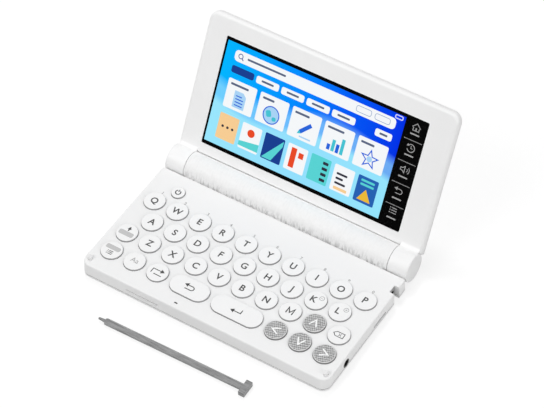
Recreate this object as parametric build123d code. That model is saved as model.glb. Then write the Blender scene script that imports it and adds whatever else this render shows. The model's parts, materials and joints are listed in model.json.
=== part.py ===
from build123d import *
from math import cos, radians, sin
import os

# Electronic dictionary: a clamshell with a keyboard base, a display lid and a loose stylus.
# Millimetres. X runs along the hinge, +Y points to the back and +Z up. The origin is on the
# table, under the middle of the whole: the open dictionary and the stylus in front of it.
# The lid is built closed, then opened.

# ---- Keys ----
key_diameter = 11.7
key_gap = 2.6                # between neighbours in a row
row_gap = 0.85               # between the letter rows, which are set half a key apart
arrow_row_gap = 1.9          # between the bottom row and the row behind it
key_rise = 0.95              # top of a key above the deck
key_travel = 0.8
key_edge_radius = 0.45
key_hole_clearance = 0.15    # around a key, in radius
key_flange = 0.6             # reach of a key's flange under the deck
key_flange_thickness = 0.7
back_key_length = 22.6
power_key_diameter = 7.4
power_key_offset = 7.45      # to the right of the first key of the top row
power_key_setback = 10.9     # behind the top row

# ---- Base ----
front_margin = 14.95         # from the front edge to the middle of the bottom row
side_margin = 4.2            # from the side to the outermost keys
deck_rear_band = 22.65       # from the middle of the top row to the back edge of the deck
deck_height = 9.4
deck_thickness = 1.2
deck_edge_radius = 0.9
front_lean = 1.0             # of the front face's top edge behind its foot
case_wall = 1.3
floor_thickness = 1.1
floor_edge_radius = 0.5
front_corner_radius = 5.0
rear_corner_radius = 1.0
base_split_height = 2.4      # parting line between the two cases
split_gap = 0.35
lip_thickness = 0.9
lip_height = 0.9             # of the bottom case's lip above the parting line
fit_clearance = 0.1          # between fixed pieces that slot together
foot_height = 0.7
foot_length = 9.0
foot_width = 5.0
foot_inset = 12.4            # of a front foot from the side
foot_setback = 10.0          # of a front foot from the front edge
bumper_radius = 1.4
bumper_depth = 0.6
bumper_side_inset = 3.2
bumper_front_inset = 5.3

# ---- Openings in the base ----
microphone_slot = (2.0, 0.8)
microphone_x = -17.0
microphone_setback = 3.9
sound_slot = (20.0, 0.9)
sound_slot_x = -36.0
sound_slot_height = 5.1
jack_setback = 4.2           # of the headphone jack behind the bottom row
jack_bore_radius = 1.8
jack_nose_radius = 2.5
jack_body_width = 4.2
jack_body_length = 11.5
card_slot_setback = 9.85     # of the card slot behind the middle letter row
card_slot_drop = 0.75        # of the card slot's middle below the board
card_slot_width = 11.4
card_slot_opening = 1.2
card_depth = 11.5

# ---- Hinge barrel ----
barrel_wall = 0.7
hinge_gap = 0.8              # between the deck's back edge and the barrel
end_cap_length = 12.1
end_cap_gap = 0.3
cell_radius = 7.1
cell_length = 50.5
cell_nub_radius = 2.7
cell_nub_length = 1.3
cell_clearance = 0.1
contact_space = 2.5          # for a contact at each end of the two cells
bay_end_wall = 1.1           # between a contact and the hinge sleeve
contact_thickness = 0.4
contact_width = 9.0
battery_cover_gap = 0.3      # between the cover's opening and the bracket's top plate
battery_cover_margin = 0.8   # past the cells, at each end
battery_cover_clearance = 0.15
bracket_thickness = 1.2
bracket_side_inset = 1.3
sleeve_radius = 4.5
sleeve_length = 8.2
shaft_radius = 2.5
shaft_bore_radius = 1.3
shaft_clearance = 0.03
shaft_key_flats = 5.6        # hexagon that the end cap turns
shaft_flange_radius = 4.0
shaft_flange_thickness = 0.8
rear_foot_setback = 1.0      # of a rear foot behind the hinge axis

# ---- Lid ----
lid_open_angle = 120.0
lid_gap = 1.8                # between the closed lid's face and the deck
lid_thickness = 6.6          # next to the hinge
lid_edge_thickness = 4.9     # at the free edge
bezel_height = 3.7           # from the face to the parting line
bezel_plate = 2.2
lid_wall = 1.5
lid_corner_radius = 5.5
lid_face_edge_radius = 1.8
lid_back_edge_radius = 2.2
lid_back_wall = 1.3
lid_overlap = 1.7            # of the lid's back end over the barrel
barrel_clearance = 0.3       # between the lid and the barrel
lid_rear_wall = 2.0          # between the barrel and the lid's hollow
cap_wall = 1.5
cap_web = 3.8
cap_crease_radius = 2.2
cap_root = 2.4               # of an end cap's foot inside the lid, past the lid's hollow
cap_disc_thickness = 0.7
cap_disc_edge_radius = 0.45
cap_plug_length = 1.0
glass_left_margin = 12.9
glass_right_margin = 14.9
glass_top_margin = 10.3
glass_chin = 5.6             # from the barrel to the glass
glass_thickness = 1.1
glass_recess = 0.1
glass_corner_radius = 0.8
glass_clearance = 0.1
glass_ledge = 1.0
picture_side_border = 1.6
picture_strip = 13.2         # black touch strip right of the picture
picture_top_border = 1.6
picture_bottom_border = 1.7
panel_margin = 0.35
panel_thickness = 2.4
cable_radius = 0.75
cable_cover = 0.65           # between the cable's channel and the lid's face

# ---- Inside the base ----
dome_radius = 1.8
dome_top_radius = 1.4
dome_height = 0.65
dome_gap = 0.05
mat_thickness = 0.4
board_thickness = 0.8
board_inset = 2.4
board_gap = 0.6              # between the board and what stands in front of or behind it
chip_thickness = 1.2
silo_radius = 2.0            # bore that takes the stylus
silo_wall = 1.05
silo_gap = 0.65              # between the bore's tube and the bracket
silo_drop = 0.2              # of the tube below the deck
silo_spare = 1.5
notch_width = 5.0            # in the side, for the stylus's head
notch_depth = 2.9
screw_radius = 0.8
screw_length = 4.5
screw_head_radius = 1.5
screw_head_height = 0.5
screw_clearance = 0.05
boss_radius = 1.9
bracket_boss_radius = 1.35
front_screw_setback = 5.2
front_screw_spacing = 56.0
rear_screw_inset = 7.4
rear_screw_setback = 3.3
bracket_screw_spacing = 56.0
speaker_length = 16.0
speaker_depth = 5.0
speaker_height = 5.0
microphone_radius = 1.5

# ---- Stylus ----
stylus_width = 3.5           # across the flats of its body
stylus_length = 82.2
stylus_edge_radius = 0.2
stylus_shoulder = 0.5
tip_length = 4.0
tip_root_radius = 0.95
tip_end_radius = 0.6
head_length = 3.2
head_width = 8.6
head_edge_radius = 0.7
stylus_head_x = 38.9
stylus_distance = 18.05      # of its head from the front of the base
stylus_turn = 1.0            # degrees, away from the front edge

# ---- Worked out from the sizes above ----
columns = 10
half_columns = (columns - 1) / 2
key_pitch = key_diameter + key_gap
row_pitch = key_diameter + row_gap
arrow_row_pitch = key_diameter + arrow_row_gap
bay_radius = cell_radius + cell_clearance
bay_half = cell_length + contact_space
barrel_radius = bay_radius + barrel_wall
keyboard_width = (columns - 1) * key_pitch + key_diameter + 2 * side_margin
barrel_width = 2 * (bay_half + bay_end_wall + sleeve_length + end_cap_length)
width = max(keyboard_width, barrel_width)
deck_depth = front_margin + arrow_row_pitch + 2 * row_pitch + deck_rear_band
hinge_z = foot_height + barrel_radius
face_z = deck_height + lid_gap
lid_face_offset = face_z - hinge_z
hinge_setback = deck_depth + hinge_gap + barrel_radius
lid_lean = radians(lid_open_angle - 90)
lid_reach = hinge_setback * sin(lid_lean) + (lid_face_offset + lid_edge_thickness) * cos(lid_lean)
stylus_reach = stylus_distance + head_width / 2
front_y = -(hinge_setback + lid_reach - stylus_reach) / 2
bottom_row_y = front_y + front_margin
third_row_y = bottom_row_y + arrow_row_pitch
second_row_y = third_row_y + row_pitch
top_row_y = second_row_y + row_pitch
deck_rear_y = front_y + deck_depth
side_x = width / 2
hinge_y = front_y + hinge_setback
barrel_half = side_x - end_cap_length
deck_underside = deck_height - deck_thickness
floor_top = foot_height + floor_thickness
key_bottom = deck_underside - key_flange_thickness
dome_top = key_bottom - key_travel - dome_gap
mat_top = dome_top - dome_height
board_top = mat_top - mat_thickness
board_bottom = board_top - board_thickness
jack_y = bottom_row_y + jack_setback
jack_height = floor_top + fit_clearance + jack_nose_radius
jack_half = jack_body_width / 2
card_slot_y = second_row_y + card_slot_setback
card_slot_height = board_bottom - card_slot_drop
lip_inner = case_wall + fit_clearance + lip_thickness
bracket_front_y = deck_rear_y - lip_inner - fit_clearance - 2 * bracket_boss_radius
bracket_top = deck_underside - fit_clearance
battery_opening_top = bracket_top - bracket_thickness - battery_cover_gap
silo_outer_radius = silo_radius + silo_wall
silo_y = bracket_front_y - silo_gap - silo_outer_radius
silo_height = deck_underside - silo_drop - silo_outer_radius
notch_x = side_x - notch_depth
silo_end_x = notch_x - stylus_length - tip_length - silo_spare
cover_half = cell_length + battery_cover_margin
speaker_front = front_y + lip_inner + 2 * fit_clearance
split_z = face_z + bezel_height
lid_rear_y = hinge_y - barrel_radius + lid_overlap
lid_inner_y = hinge_y - barrel_radius - lid_rear_wall
cap_end = side_x - cap_disc_thickness - end_cap_gap
cap_start = barrel_half + end_cap_gap
glass_width = width - glass_left_margin - glass_right_margin
glass_height = hinge_y - barrel_radius - glass_chin - front_y - glass_top_margin
glass_x = (glass_left_margin - glass_right_margin) / 2
glass_y = front_y + glass_top_margin + glass_height / 2
picture_width = glass_width - picture_side_border - picture_strip
picture_height = glass_height - picture_top_border - picture_bottom_border
picture_x = glass_x - glass_width / 2 + picture_side_border + picture_width / 2
picture_y = glass_y + (picture_top_border - picture_bottom_border) / 2
cable_level = face_z + cable_cover + cable_radius + fit_clearance / 2
cut_margin = 1.0             # how far a cutting shape runs past what it cuts


# ---- Shapes that repeat ----
def slab(outline, low, high):
    """A flat outline, raised from one height to another."""
    return extrude(Pos(0, 0, low) * outline, amount=high - low)


def block(x_range, y_range, z_range):
    """A box between three pairs of faces."""
    ranges = (x_range, y_range, z_range)
    middle = [(low + high) / 2 for low, high in ranges]
    size = [high - low for low, high in ranges]
    return Pos(*middle) * Box(*size)


def rod(radius, start_x, end_x, y=hinge_y, z=hinge_z):
    """A round bar along X, on the hinge axis unless told otherwise."""
    return Pos((start_x + end_x) / 2, y, z) * Cylinder(radius, end_x - start_x, rotation=(0, 90, 0))


def mirrored_pair(shape):
    """A shape on the right and its mirror image on the left."""
    return [shape, mirror(shape, about=Plane.YZ)]


def together(shapes):
    """Separate solids that are kept in one piece list."""
    return Compound(children=[solid for shape in shapes for solid in shape.solids()])


# ---- Keys ----
def key_layout():
    """Name, place, diameter and length of every key."""
    def column(index):
        return (index - half_columns) * key_pitch

    keys = []
    for index, letter in enumerate("qwertyuiop"):
        keys.append(("key_" + letter, column(index), top_row_y, key_diameter, key_diameter))
    for index, letter in enumerate("asdfghjkl"):
        keys.append(("key_" + letter, column(index + 0.5), second_row_y, key_diameter, key_diameter))
    third_row = ["shift", *"zxcvbnm", "up", "delete"]
    for index, name in enumerate(third_row):
        keys.append(("key_" + name, column(index), third_row_y, key_diameter, key_diameter))
    bottom_row = {"list": 0, "size": 1, "jump": 2, "left": 7, "down": 8, "right": 9}
    for name, index in bottom_row.items():
        keys.append(("key_" + name, column(index), bottom_row_y, key_diameter, key_diameter))
    long_start = column(bottom_row["jump"]) + key_diameter / 2 + key_gap
    long_end = column(bottom_row["left"]) - key_diameter / 2 - key_gap
    enter_key_length = long_end - long_start - key_gap - back_key_length
    back_x = long_start + back_key_length / 2
    enter_x = long_end - enter_key_length / 2
    keys.append(("key_back", back_x, bottom_row_y, key_diameter, back_key_length))
    keys.append(("key_enter", enter_x, bottom_row_y, key_diameter, enter_key_length))
    power_x = column(0) + power_key_offset
    power_y = top_row_y + power_key_setback
    keys.append(("key_power", power_x, power_y, power_key_diameter, power_key_diameter))
    return keys


def key_outline(x, y, diameter, length, growth=0.0):
    """Plan of a key, round or long, grown on all sides."""
    if length > diameter:
        return Pos(x, y) * SlotOverall(length + 2 * growth, diameter + 2 * growth)
    return Pos(x, y) * Circle(diameter / 2 + growth)


def key(x, y, diameter, length):
    """A key cap with a rounded top edge and a flange that stops under the deck."""
    cap = slab(key_outline(x, y, diameter, length), key_bottom, deck_height + key_rise)
    cap = fillet(cap.edges().group_by(Axis.Z)[-1], key_edge_radius)
    flange = slab(key_outline(x, y, diameter, length, key_flange), key_bottom, deck_underside)
    return cap + flange


def key_holes():
    """Everything cut from the deck for the keys."""
    holes = []
    for name, x, y, diameter, length in key_layout():
        outline = key_outline(x, y, diameter, length, key_hole_clearance)
        holes.append(slab(outline, deck_underside - cut_margin, deck_height + cut_margin))
    return holes


# ---- Places that several pieces share ----
def base_outline(inset=0.0):
    """Plan of the base, moved in from its outer faces."""
    middle_y = front_y + deck_depth / 2
    outline = Pos(0, middle_y) * Rectangle(width - 2 * inset, deck_depth - 2 * inset)
    front = outline.vertices().group_by(Axis.Y)[0]
    outline = fillet(front, front_corner_radius - inset)
    rear = outline.vertices().group_by(Axis.Y)[-1]
    return fillet(rear, max(rear_corner_radius - inset, rear_corner_radius / 4))


def top_case_screws():
    """Screws that hold the top case: three at the front and two at the back corners."""
    front = [(x, front_y + front_screw_setback)
             for x in (-front_screw_spacing, 0, front_screw_spacing)]
    rear_x = side_x - rear_screw_inset
    return front + [(x, deck_rear_y - rear_screw_setback) for x in (-rear_x, rear_x)]


def bracket_screws():
    """Screws that hold the barrel's bracket."""
    y = bracket_front_y + bracket_boss_radius
    return [(x, y) for x in (-bracket_screw_spacing, 0, bracket_screw_spacing)]


def screw_holes(places):
    """Pilot holes that take the screws' threads."""
    top = foot_height + screw_head_height + screw_length + screw_clearance
    hole = Circle(screw_radius + screw_clearance)
    return [slab(Pos(x, y) * hole, floor_top - cut_margin, top) for x, y in places]


def jack_hole():
    """Round hole through the side wall for the headphone jack's nose."""
    radius = jack_nose_radius + fit_clearance
    return rod(radius, side_x - lip_inner - cut_margin, side_x + cut_margin, jack_y, jack_height)


def notch():
    """Open notch in the right side, where the stylus's head is gripped."""
    half = notch_width / 2
    return block((notch_x, side_x + cut_margin), (silo_y - half, silo_y + half), (0, 2 * deck_height))


def notch_walls(low, high):
    """Walls around the notch, inside the case."""
    half = notch_width / 2 + case_wall
    return block((notch_x - case_wall, side_x - case_wall), (silo_y - half, silo_y + half), (low, high))


def silo_bore():
    """The stylus's bore, from its closed end to the notch."""
    return rod(silo_radius, silo_end_x, notch_x + cut_margin, silo_y, silo_height)


# ---- Base ----
def leaning_block(low):
    """The top case before it is hollowed out; its front face leans back."""
    outline = Pos(0, front_y + deck_depth) * Rectangle(width, 2 * deck_depth)
    outline = fillet(outline.vertices().group_by(Axis.Y)[0], front_corner_radius)
    lean = Vector(0, front_lean, deck_height - low)
    body = extrude(Pos(0, 0, low) * outline, amount=lean.length, dir=lean)
    body &= block((-width, width), (front_y - cut_margin, deck_rear_y), (low, deck_height))
    return fillet(body.edges().filter_by(Axis.Z), rear_corner_radius)


def base_top_case():
    """Deck and side walls, pierced by the keys."""
    low = base_split_height + split_gap / 2
    case = leaning_block(low)
    case = fillet(case.edges().group_by(Axis.Z)[-1], deck_edge_radius)
    lip_room = base_split_height + lip_height + fit_clearance
    case -= slab(base_outline(case_wall), low - cut_margin, lip_room)
    case -= slab(base_outline(case_wall) & Pos(0, front_lean) * base_outline(case_wall),
                 lip_room - cut_margin, deck_underside)
    bosses = [slab(Pos(x, y) * Circle(boss_radius), floor_top, deck_underside)
              for x, y in top_case_screws()]
    case = case + bosses + notch_walls(low, deck_underside)
    slot_width, slot_height = sound_slot
    sound_outline = Rot(90, 0, 0) * SlotOverall(slot_width, slot_height)
    sound = Pos(sound_slot_x, front_y, sound_slot_height) * sound_outline
    microphone = Pos(microphone_x, front_y + microphone_setback) * SlotOverall(*microphone_slot)
    card = block(
        (side_x - case_wall - cut_margin, side_x + cut_margin),
        (card_slot_y - card_slot_width / 2, card_slot_y + card_slot_width / 2),
        (card_slot_height - card_slot_opening / 2, card_slot_height + card_slot_opening / 2),
    )
    bracket_gap = block(
        (-bracket_half() - fit_clearance, bracket_half() + fit_clearance),
        (deck_rear_y - case_wall - cut_margin, deck_rear_y + cut_margin),
        (bracket_top - bracket_thickness - fit_clearance, bracket_top + fit_clearance),
    )
    case -= key_holes()
    case -= screw_holes(top_case_screws())
    case -= [notch(), silo_bore(), jack_hole(), card, bracket_gap]
    case -= extrude(sound, amount=case_wall + front_lean + cut_margin, both=True)
    case -= slab(microphone, deck_underside - cut_margin, deck_height + cut_margin)
    case -= [bumper(x, fit_clearance / 2) for x in bumper_places()]
    return case


def base_bottom_case():
    """Floor with a rim, an inner lip, the stylus's tube and posts for the board."""
    rim_top = base_split_height - split_gap / 2
    lip_top = base_split_height + lip_height
    case = slab(base_outline(), foot_height, rim_top)
    case = fillet(case.edges().group_by(Axis.Z)[0], floor_edge_radius)
    case += slab(base_outline(case_wall + fit_clearance), rim_top, lip_top)
    case -= slab(base_outline(lip_inner), floor_top, lip_top + cut_margin)
    case -= notch_walls(rim_top, lip_top + cut_margin)
    tube_end = notch_x - case_wall - fit_clearance
    tube = rod(silo_outer_radius, silo_end_x - silo_wall, tube_end, silo_y, silo_height)
    rib = block((silo_end_x, tube_end), (silo_y - silo_wall, silo_y + silo_wall), (floor_top, silo_height))
    posts = [slab(Pos(x, y) * Circle(boss_radius), floor_top, board_bottom)
             for x in (-3 * key_pitch, 3 * key_pitch) for y in (bottom_row_y, second_row_y)]
    case = case + [tube, rib] + posts
    case -= [silo_bore(), notch(), jack_hole()]
    case -= [slab(Pos(x, y) * Circle(boss_radius + fit_clearance), floor_top, lip_top + cut_margin)
             for x, y in top_case_screws()]
    for x, y in top_case_screws() + bracket_screws():
        head = Circle(screw_head_radius + screw_clearance)
        shank = Circle(screw_radius + 2 * screw_clearance)
        case -= slab(Pos(x, y) * head, 0, foot_height + screw_head_height)
        case -= slab(Pos(x, y) * shank, 0, floor_top + cut_margin)
    return case


def front_foot(x):
    """A rubber pad under the front of the floor."""
    return slab(Pos(x, front_y + foot_setback) * SlotOverall(foot_length, foot_width), 0, foot_height)


def rear_foot():
    """A rubber pad that fits the round underside of the barrel, right of the battery cover."""
    x = (cover_half + barrel_half) / 2
    outline = Pos(x, hinge_y + rear_foot_setback) * SlotOverall(foot_length, foot_width)
    pad = slab(outline, 0, 2 * foot_height)
    return pad - rod(barrel_radius, x - foot_length, x + foot_length)


def rubber_feet():
    front_x = side_x - foot_inset
    return together([front_foot(-front_x), front_foot(front_x)] + mirrored_pair(rear_foot()))


def bumper_places():
    return (-side_x + bumper_side_inset, side_x - bumper_side_inset)


def bumper(x, growth=0.0):
    """A round rubber pad that the closed lid rests on."""
    outline = Pos(x, front_y + bumper_front_inset) * Circle(bumper_radius + growth)
    return slab(outline, deck_height - bumper_depth, face_z - fit_clearance)


def lid_bumpers():
    pads = []
    for x in bumper_places():
        pad = bumper(x)
        pads.append(fillet(pad.edges().group_by(Axis.Z)[-1], bumper_radius / 4))
    return together(pads)


def board_outline():
    """Plan shared by the board and the key mat, stepped around the stylus's tube."""
    front = speaker_front + speaker_depth + board_gap
    back = bracket_front_y - board_gap
    sides = side_x - board_inset
    outline = Pos(0, (front + back) / 2) * Rectangle(2 * sides, back - front)
    notch_front = silo_y - notch_width / 2 - case_wall
    step = min(notch_front, silo_y - silo_outer_radius) - fit_clearance
    step_left = silo_end_x - silo_wall - board_gap
    corner = Rectangle(side_x - step_left, back + board_gap - step)
    outline -= Pos((step_left + side_x) / 2, (step + back + board_gap) / 2) * corner
    jack_left = side_x - case_wall - jack_body_length - board_gap
    jack_cut = Rectangle(side_x - jack_left, 2 * (jack_nose_radius + fit_clearance))
    return outline - Pos((jack_left + side_x) / 2, jack_y) * jack_cut


def key_mat():
    """Rubber sheet with a dome under every key."""
    mat = slab(board_outline(), board_top, mat_top)
    domes = []
    for name, x, y, diameter, length in key_layout():
        cone = Cone(dome_radius, dome_top_radius, dome_height)
        domes.append(Pos(x, y, mat_top + dome_height / 2) * cone)
    return mat + domes


def main_board():
    """Circuit board with its processor, memory and card socket below."""
    board = slab(board_outline(), board_bottom, board_top)
    chips = []
    for x, size in ((0, key_pitch), (-1.5 * key_pitch, 0.7 * key_pitch)):
        outline = Pos(x, second_row_y) * Rectangle(size, size)
        chips.append(slab(outline, board_bottom - chip_thickness, board_bottom))
    half = card_slot_width / 2
    mouth = side_x - lip_inner - fit_clearance
    low = card_slot_height - card_slot_opening
    socket = block((mouth - card_depth, mouth), (card_slot_y - half, card_slot_y + half),
                   (low, board_bottom))
    card_half = half - panel_margin
    socket -= block(
        (mouth - card_depth + cut_margin, mouth + cut_margin),
        (card_slot_y - card_half, card_slot_y + card_half),
        (card_slot_height - card_slot_opening / 2, card_slot_height + card_slot_opening / 3),
    )
    return together([board] + chips + [socket])


def speaker_and_microphone():
    speaker = block(
        (sound_slot_x - speaker_length / 2, sound_slot_x + speaker_length / 2),
        (speaker_front, speaker_front + speaker_depth),
        (floor_top, floor_top + speaker_height),
    )
    outline = Pos(microphone_x, front_y + microphone_setback) * Circle(microphone_radius)
    microphone = slab(outline, deck_underside - microphone_radius, deck_underside)
    return together([fillet(speaker.edges().filter_by(Axis.Z), microphone_radius / 2), microphone])


def audio_jack():
    """Headphone jack: a body against the side wall and a nose through it."""
    inner = side_x - case_wall - fit_clearance
    nose_start = side_x - lip_inner - fit_clearance
    bore_start = inner - jack_body_length + case_wall
    body = block((inner - jack_body_length, nose_start), (jack_y - jack_half, jack_y + jack_half),
                 (jack_height - jack_half, jack_height + jack_half))
    nose = rod(jack_nose_radius, nose_start, side_x - fit_clearance, jack_y, jack_height)
    return body + nose - rod(jack_bore_radius, bore_start, side_x, jack_y, jack_height)


def case_screws():
    screws = []
    for x, y in top_case_screws() + bracket_screws():
        head = slab(Pos(x, y) * Circle(screw_head_radius), foot_height + screw_clearance,
                    foot_height + screw_head_height)
        shank = slab(Pos(x, y) * Circle(screw_radius), foot_height + screw_head_height,
                     foot_height + screw_head_height + screw_length)
        cross = Pos(x, y) * (Rectangle(2 * screw_radius, screw_radius / 2)
                             + Rectangle(screw_radius / 2, 2 * screw_radius))
        screws.append(head + shank - slab(cross, foot_height, foot_height + screw_head_height / 2))
    return together(screws)


# ---- Hinge barrel ----
def bracket_half():
    return barrel_half - bracket_side_inset


def hinge_barrel():
    """Round battery tube with solid ends and the bracket that ties it into the base."""
    barrel = rod(barrel_radius, -barrel_half, barrel_half) - rod(bay_radius, -bay_half, bay_half)
    opening_half = cover_half + battery_cover_clearance
    opening_front = hinge_y - barrel_radius - cut_margin
    opening_rear = hinge_y + barrel_radius + cut_margin
    barrel -= block((-opening_half, opening_half), (opening_front, opening_rear),
                    (-cut_margin, battery_opening_top))
    half = bracket_half()
    top_low = bracket_top - bracket_thickness
    top_plate = block((-half, half), (bracket_front_y, hinge_y), (top_low, bracket_top))
    top_plate -= rod(bay_radius, -half - cut_margin, half + cut_margin)
    web_rear_y = bracket_front_y + bracket_thickness
    web = block((-half, half), (bracket_front_y, web_rear_y), (floor_top, bracket_top))
    foot_y = bracket_front_y + 2 * bracket_boss_radius
    foot = block((-half, half), (bracket_front_y, foot_y), (floor_top, floor_top + bracket_thickness))
    bosses = [slab(Pos(x, y) * Circle(bracket_boss_radius), floor_top, bracket_top)
              for x, y in bracket_screws()]
    barrel = barrel + [top_plate, web, foot] + bosses
    barrel -= screw_holes(bracket_screws())
    seat_start = barrel_half - sleeve_length - cut_margin
    seat = rod(sleeve_radius + fit_clearance / 2, seat_start, barrel_half + cut_margin)
    barrel -= mirrored_pair(seat)
    return barrel


def battery_cover():
    """Curved cover that drops away below the cells."""
    cover = rod(barrel_radius, -cover_half, cover_half) - rod(bay_radius, -bay_half, bay_half)
    top = battery_opening_top - battery_cover_clearance
    cover &= block((-cover_half, cover_half), (hinge_y - barrel_radius, hinge_y + barrel_radius),
                   (hinge_z - barrel_radius, top))
    return cover


def aa_cells():
    cells = []
    for start in (-cell_length, 0):
        end = start + cell_length - cell_nub_length
        can = rod(cell_radius, start, end)
        can = fillet(can.edges().filter_by(GeomType.CIRCLE), cell_nub_length / 2)
        cells.append(can + rod(cell_nub_radius, end, end + cell_nub_length))
    return together(cells)


def battery_contacts():
    """A pressed plate with a cone at each end of the cells."""
    half = contact_width / 2
    plate = block((bay_half - contact_thickness, bay_half), (hinge_y - half, hinge_y + half),
                  (hinge_z - half, hinge_z + half))
    cone_length = contact_space - contact_thickness - cell_clearance
    cone = Pos(bay_half - contact_thickness - cone_length / 2, hinge_y, hinge_z) * Cone(
        half - contact_thickness, half / 2, cone_length, rotation=(0, -90, 0))
    return together(mirrored_pair(plate + cone))


def hinge_sleeves():
    """Friction sleeves in the ends of the barrel."""
    start = barrel_half - sleeve_length
    sleeve = rod(sleeve_radius, start, barrel_half) - rod(
        shaft_radius + shaft_clearance, start - cut_margin, barrel_half + cut_margin)
    return together(mirrored_pair(sleeve))


# ---- Lid, built closed ----
def lid_outline(inset=0.0):
    """Plan of the lid, moved in from its outer faces."""
    low_y = front_y + inset
    high_y = lid_rear_y - inset
    outline = Pos(0, (low_y + high_y) / 2) * Rectangle(width - 2 * inset, high_y - low_y)
    return fillet(outline.vertices().group_by(Axis.Y)[0], lid_corner_radius - inset)


def below_lid_back(offset=0.0):
    """Everything under the lid's sloping back, or under a surface parallel to it."""
    rear_z = face_z + lid_thickness - offset
    front_z = face_z + lid_edge_thickness - offset
    side = Polyline(
        (front_y, 0), (hinge_y, 0), (hinge_y, rear_z), (lid_rear_y, rear_z), (front_y, front_z), close=True)
    return extrude(Plane.YZ * make_face(side), amount=side_x + cut_margin, both=True)


def barrel_space():
    """Round space that the lid leaves for the barrel."""
    return rod(barrel_radius + barrel_clearance, -side_x - cut_margin, side_x + cut_margin)


def end_cap():
    """The right end of the barrel, one with the bezel, with a soft crease where they meet."""
    root_y = lid_inner_y - cap_root
    top = split_z - split_gap / 2
    root = Rectangle(lid_rear_y - root_y, top - face_z)
    profile = Pos(hinge_y, hinge_z) * Circle(barrel_radius)
    profile += Pos((root_y + lid_rear_y) / 2, (face_z + top) / 2) * root
    crease = profile.vertices().sort_by_distance((hinge_y - barrel_radius, face_z))[0]
    profile = fillet(crease, cap_crease_radius)
    cap = extrude(Plane.YZ.offset(cap_start) * profile, amount=cap_end - cap_start)
    cap -= rod(barrel_radius - cap_wall, cap_start + cap_web, cap_end + cut_margin)
    key_hole = RegularPolygon(shaft_key_flats / 2 + fit_clearance / 2, 6, major_radius=False)
    hole_plane = Plane.YZ.offset(cap_start - cut_margin)
    cap -= extrude(hole_plane * Pos(hinge_y, hinge_z) * key_hole, amount=cap_web + 2 * cut_margin)
    return cap


def cable_channel():
    """Way for the display cable, from the right end cap into the hollow of the lid."""
    middle = cap_end - cap_web
    low = cable_level - cable_radius - fit_clearance / 2
    high = cable_level + cable_radius + fit_clearance / 2
    half = cable_radius + 2 * fit_clearance
    start_y = lid_inner_y - cap_root - cut_margin
    passage = block((middle - half, middle + half), (start_y, hinge_y - shaft_flange_radius), (low, high))
    pocket_start = (middle - 5 * cable_radius, lid_inner_y - 2 * cap_wall - 8 * cable_radius)
    pocket = block((pocket_start[0], middle + half), (pocket_start[1], lid_inner_y), (low, split_z))
    return [passage, pocket]


def lid_bezel():
    """Front half of the lid, with the glass's pocket and both end caps of the barrel."""
    top = split_z - split_gap / 2
    bezel = slab(lid_outline(), face_z, top)
    bezel = fillet(bezel.edges().group_by(Axis.Z)[0], lid_face_edge_radius)
    hollow_depth = lid_inner_y - front_y - lid_wall
    hollow = Pos(0, front_y + lid_wall + hollow_depth / 2) * Rectangle(width - 2 * lid_wall, hollow_depth)
    hollow = fillet(hollow.vertices().group_by(Axis.Y)[0], lid_corner_radius - lid_wall)
    bezel -= slab(hollow, face_z + bezel_plate, top + cut_margin)
    bezel -= barrel_space()
    bezel += mirrored_pair(end_cap())
    bezel -= cable_channel()
    pocket = Pos(glass_x, glass_y) * RectangleRounded(
        glass_width + 2 * glass_clearance, glass_height + 2 * glass_clearance, glass_corner_radius)
    window_size = (glass_width - 2 * glass_ledge, glass_height - 2 * glass_ledge)
    window = Pos(glass_x, glass_y) * Rectangle(*window_size)
    bezel -= slab(pocket, face_z - cut_margin, face_z + glass_recess + glass_thickness)
    bezel -= slab(window, face_z - cut_margin, face_z + bezel_plate + cut_margin)
    return bezel


def lid_back_cover():
    """Back half of the lid: a shallow sloping tray with a lip that locates it in the bezel."""
    low = split_z + split_gap / 2
    cover = slab(lid_outline(), low, face_z + lid_thickness) & below_lid_back()
    outer_edges = cover.edges().filter_by(lambda edge: edge.center().Z > low + split_gap)
    upright = outer_edges.filter_by(Axis.Z)
    cover = fillet(outer_edges - upright, lid_back_edge_radius)
    hollow = slab(lid_outline(lid_wall), low - cut_margin, face_z + lid_thickness)
    cover -= hollow & below_lid_back(lid_back_wall)
    ring = lid_outline(lid_wall + fit_clearance) - lid_outline(lid_wall + fit_clearance + lip_thickness)
    lip_end = lid_inner_y - cap_root - lid_wall
    ring &= Pos(0, front_y) * Rectangle(2 * width, 2 * (lip_end - front_y))
    lip = slab(ring, split_z - lip_height, low + lid_wall / 2)
    cover += lip & below_lid_back()
    return cover - barrel_space()


def screen_glass():
    outline = Pos(glass_x, glass_y) * RectangleRounded(glass_width, glass_height, glass_corner_radius)
    low = face_z + glass_recess
    glass = slab(outline, low, low + glass_thickness)
    return fillet(glass.edges().group_by(Axis.Z)[0], glass_recess)


def display_panel():
    """Display module behind the clear part of the glass."""
    outline = Pos(picture_x, picture_y) * Rectangle(
        picture_width + 2 * panel_margin, picture_height + 2 * panel_margin)
    low = face_z + glass_recess + glass_thickness
    panel = slab(outline, low, low + panel_thickness)
    return chamfer(panel.edges().group_by(Axis.Z)[-1], panel_margin)


def hinge_shafts():
    """Hollow shafts, keyed into the end caps and turning in the sleeves."""
    start = barrel_half - sleeve_length
    shaft = rod(shaft_radius, start, cap_start)
    hexagon = RegularPolygon(shaft_key_flats / 2, 6, major_radius=False)
    shaft += extrude(Plane.YZ.offset(cap_start) * Pos(hinge_y, hinge_z) * hexagon, amount=cap_web)
    shaft += rod(shaft_flange_radius, cap_start + cap_web, cap_start + cap_web + shaft_flange_thickness)
    bore = rod(shaft_bore_radius, start - cut_margin, cap_end)
    return together(mirrored_pair(shaft - bore))


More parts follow.
